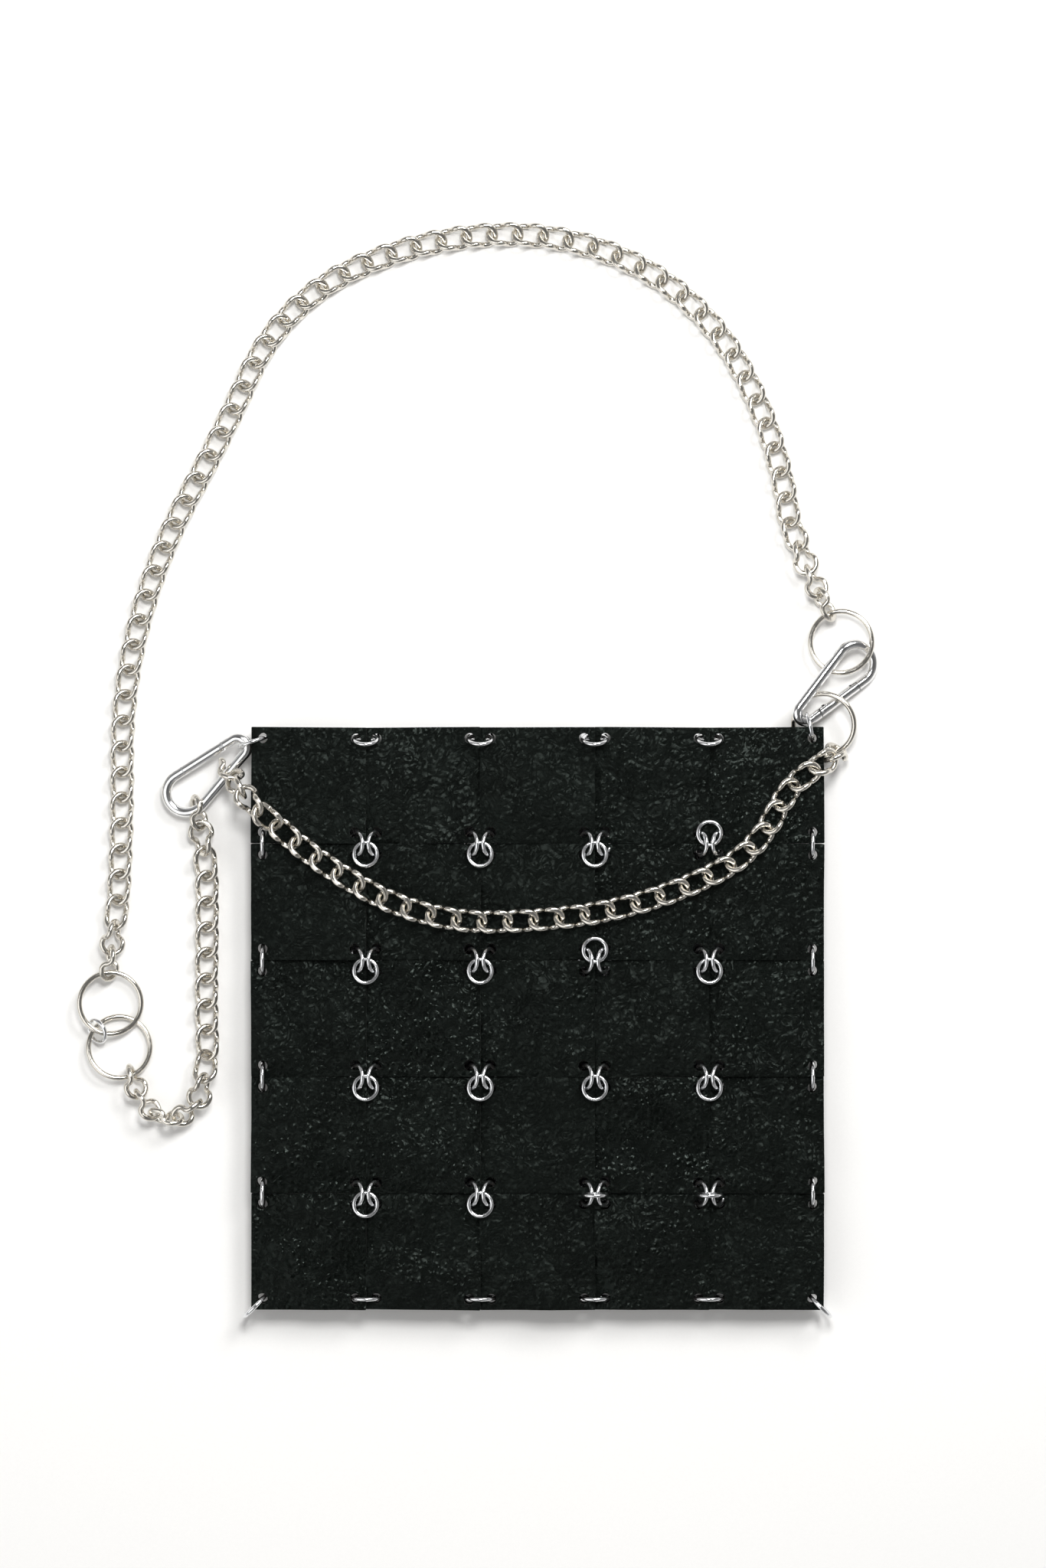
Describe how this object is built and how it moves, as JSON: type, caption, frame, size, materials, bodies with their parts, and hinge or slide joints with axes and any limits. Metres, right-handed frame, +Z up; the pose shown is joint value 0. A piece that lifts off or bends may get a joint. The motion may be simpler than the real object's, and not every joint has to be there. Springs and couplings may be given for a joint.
{
  "type": "chain pouch",
  "caption": "Flat square pouch of black leather squares linked by jump rings, with two spring clips, round hoops, a long curb-chain strap and a chain swagged across the front.",
  "frame": {"origin": "centre of the pouch on the surface it lies on", "axes": "+X across the pouch to its right, +Y towards its mouth, +Z up out of its front panel"},
  "size_m": [0.2998, 0.4095, 0.0246],
  "materials": {
    "black_leather": "pebbled, low sheen",
    "ring_zinc": "bright plated wire",
    "clip_zinc": "bright plated",
    "pin_steel": "satin",
    "chain_nickel": "polished, slightly warm",
    "hoop_nickel": "polished, slightly warm"
  },
  "bodies": {
    "mouth_row": {"square_front_11": "black_leather", "square_front_12": "black_leather", "square_front_13": "black_leather", "square_front_14": "black_leather", "square_front_15": "black_leather", "squares_back_1": "black_leather", "rings_mouth": "ring_zinc", "ring_clip_left": "ring_zinc", "ring_clip_right": "ring_zinc", "clip_left": "clip_zinc", "clip_right": "clip_zinc", "clip_pin_left": "pin_steel", "clip_pin_right": "pin_steel"},
    "gate_left": {"clip_gate_left": "clip_zinc"},
    "gate_right": {"clip_gate_right": "clip_zinc"},
    "hoop_right": {"hoop_strap_right": "hoop_nickel"},
    "hoop_front": {"hoop_front_right": "hoop_nickel"},
    "strap_a": {"chain_strap_1": "chain_nickel", "chain_strap_2": "chain_nickel"},
    "strap_b": {"chain_strap_3": "chain_nickel"},
    "strap_c": {"chain_strap_4": "chain_nickel", "chain_strap_5": "chain_nickel"},
    "hoop_left": {"hoop_strap_left": "hoop_nickel"},
    "strap_end": {"chain_strap_end_1": "chain_nickel", "chain_strap_end_2": "chain_nickel", "ring_hoops": "ring_zinc"},
    "hoop_end": {"hoop_strap_end": "hoop_nickel"},
    "swag_a": {"chain_swag_1": "chain_nickel", "chain_swag_2": "chain_nickel"},
    "swag_b": {"chain_swag_3": "chain_nickel"},
    "swag_c": {"chain_swag_4": "chain_nickel"},
    "row_2": {"square_front_21": "black_leather", "square_front_22": "black_leather", "square_front_23": "black_leather", "square_front_24": "black_leather", "square_front_25": "black_leather", "squares_back_2": "black_leather"},
    "row_3": {"square_front_31": "black_leather", "square_front_32": "black_leather", "square_front_33": "black_leather", "square_front_34": "black_leather", "square_front_35": "black_leather", "squares_back_3": "black_leather"},
    "row_4": {"square_front_41": "black_leather", "square_front_42": "black_leather", "square_front_43": "black_leather", "square_front_44": "black_leather", "square_front_45": "black_leather", "squares_back_4": "black_leather"},
    "row_5": {"square_front_51": "black_leather", "square_front_52": "black_leather", "square_front_53": "black_leather", "square_front_54": "black_leather", "square_front_55": "black_leather", "squares_back_5": "black_leather", "rings_base": "ring_zinc"},
    "seam_1": {"rings_seam_1": "ring_zinc"},
    "seam_2": {"rings_seam_2": "ring_zinc"},
    "seam_3": {"rings_seam_3": "ring_zinc"},
    "seam_4": {"rings_seam_4": "ring_zinc"}
  },
  "joints": [
    {"name": "row_2_fold", "type": "hinge", "parent": "mouth_row", "child": "row_2", "pos_m": [0, 0.0651, 0.00912], "axis": [1, 0, 0], "range_deg": [0, 8]},
    {"name": "seam_1_turn", "type": "hinge", "parent": "mouth_row", "child": "seam_1", "pos_m": [0, 0.0651, 0.00912], "axis": [1, 0, 0], "range_deg": [0, 4]},
    {"name": "row_3_fold", "type": "hinge", "parent": "row_2", "child": "row_3", "pos_m": [0, 0.0217, 0.00912], "axis": [1, 0, 0], "range_deg": [-8, 8]},
    {"name": "seam_2_turn", "type": "hinge", "parent": "row_2", "child": "seam_2", "pos_m": [0, 0.0217, 0.00912], "axis": [1, 0, 0], "range_deg": [-4, 4]},
    {"name": "row_4_fold", "type": "hinge", "parent": "row_3", "child": "row_4", "pos_m": [0, -0.0217, 0.00912], "axis": [1, 0, 0], "range_deg": [-8, 8]},
    {"name": "seam_3_turn", "type": "hinge", "parent": "row_3", "child": "seam_3", "pos_m": [0, -0.0217, 0.00912], "axis": [1, 0, 0], "range_deg": [-4, 4]},
    {"name": "row_5_fold", "type": "hinge", "parent": "row_4", "child": "row_5", "pos_m": [0, -0.0651, 0.00912], "axis": [1, 0, 0], "range_deg": [-8, 8]},
    {"name": "seam_4_turn", "type": "hinge", "parent": "row_4", "child": "seam_4", "pos_m": [0, -0.0651, 0.00912], "axis": [1, 0, 0], "range_deg": [-4, 4]},
    {"name": "gate_left_open", "type": "hinge", "parent": "mouth_row", "child": "gate_left", "pos_m": [-0.118, 0.10122, 0.00839], "axis": [-0.1186, -0.102, 0.9877], "range_deg": [0, 20], "stiffness_Nm_per_rad": 0.002, "springref_deg": -2.86},
    {"name": "gate_right_open", "type": "hinge", "parent": "mouth_row", "child": "gate_right", "pos_m": [0.10614, 0.11427, 0.00695], "axis": [0.3443, -0.1415, 0.9281], "range_deg": [0, 6], "stiffness_Nm_per_rad": 0.002, "springref_deg": -2.86},
    {"name": "hoop_right_spin", "type": "hinge", "parent": "mouth_row", "child": "hoop_right", "pos_m": [0.11355, 0.1404, 0.00581], "axis": [-0.1318, -0.002, 0.9913], "continuous": true},
    {"name": "hoop_front_spin", "type": "hinge", "parent": "mouth_row", "child": "hoop_front", "pos_m": [0.10706, 0.10968, 0.00573], "axis": [-0.2336, -0.1704, 0.9573], "continuous": true},
    {"name": "hoop_left_spin", "type": "hinge", "parent": "strap_c", "child": "hoop_left", "pos_m": [-0.1598, 0.0053, 0.00428], "axis": [0.1025, -0.002, 0.9947], "continuous": true},
    {"name": "hoop_end_spin", "type": "hinge", "parent": "strap_end", "child": "hoop_end", "pos_m": [-0.1566, -0.0113, 0.00269], "axis": [0.0841, 0.1138, 0.9899], "continuous": true},
    {"name": "strap_sway", "type": "hinge", "parent": "mouth_row", "child": "strap_a", "pos_m": [0.10971, 0.15002, 0.00519], "axis": [0, 0, 1], "range_deg": [-1.2, 1.2]},
    {"name": "strap_crown", "type": "hinge", "parent": "strap_a", "child": "strap_b", "pos_m": [-0.03604, 0.29063, 0.00302], "axis": [0, 0, 1], "range_deg": [-4.6, 4.6]},
    {"name": "strap_shoulder", "type": "hinge", "parent": "strap_b", "child": "strap_c", "pos_m": [-0.11801, 0.21904, 0.00302], "axis": [0, 0, 1], "range_deg": [-5.2, 5.2]},
    {"name": "strap_end_sway", "type": "hinge", "parent": "mouth_row", "child": "strap_end", "pos_m": [-0.12584, 0.08011, 0.00675], "axis": [0, 0, 1], "range_deg": [-0.6, 0.6]},
    {"name": "swag_sway", "type": "hinge", "parent": "mouth_row", "child": "swag_a", "pos_m": [-0.11451, 0.09062, 0.00663], "axis": [0, 0, 1], "range_deg": [-0.6, 0.8]},
    {"name": "swag_middle", "type": "hinge", "parent": "swag_a", "child": "swag_b", "pos_m": [-0.01107, 0.03633, 0.01627], "axis": [0, 0, 1], "range_deg": [-5.4, 5.4]},
    {"name": "swag_end", "type": "hinge", "parent": "swag_b", "child": "swag_c", "pos_m": [0.05447, 0.04912, 0.01627], "axis": [0, 0, 1], "range_deg": [-6.4, 6.4]}
  ],
  "couplings": [
    {"joint": "seam_1_turn", "follows": "row_2_fold", "ratio": 0.5},
    {"joint": "seam_2_turn", "follows": "row_3_fold", "ratio": 0.5},
    {"joint": "seam_3_turn", "follows": "row_4_fold", "ratio": 0.5},
    {"joint": "seam_4_turn", "follows": "row_5_fold", "ratio": 0.5},
    {"joint": "strap_crown", "follows": "strap_sway", "ratio": -3.4063},
    {"joint": "strap_shoulder", "follows": "strap_sway", "ratio": 4.0452},
    {"joint": "strap_end_sway", "follows": "strap_sway", "ratio": 0.5},
    {"joint": "swag_middle", "follows": "swag_sway", "ratio": -4.2811},
    {"joint": "swag_end", "follows": "swag_sway", "ratio": 5.1779}
  ]
}
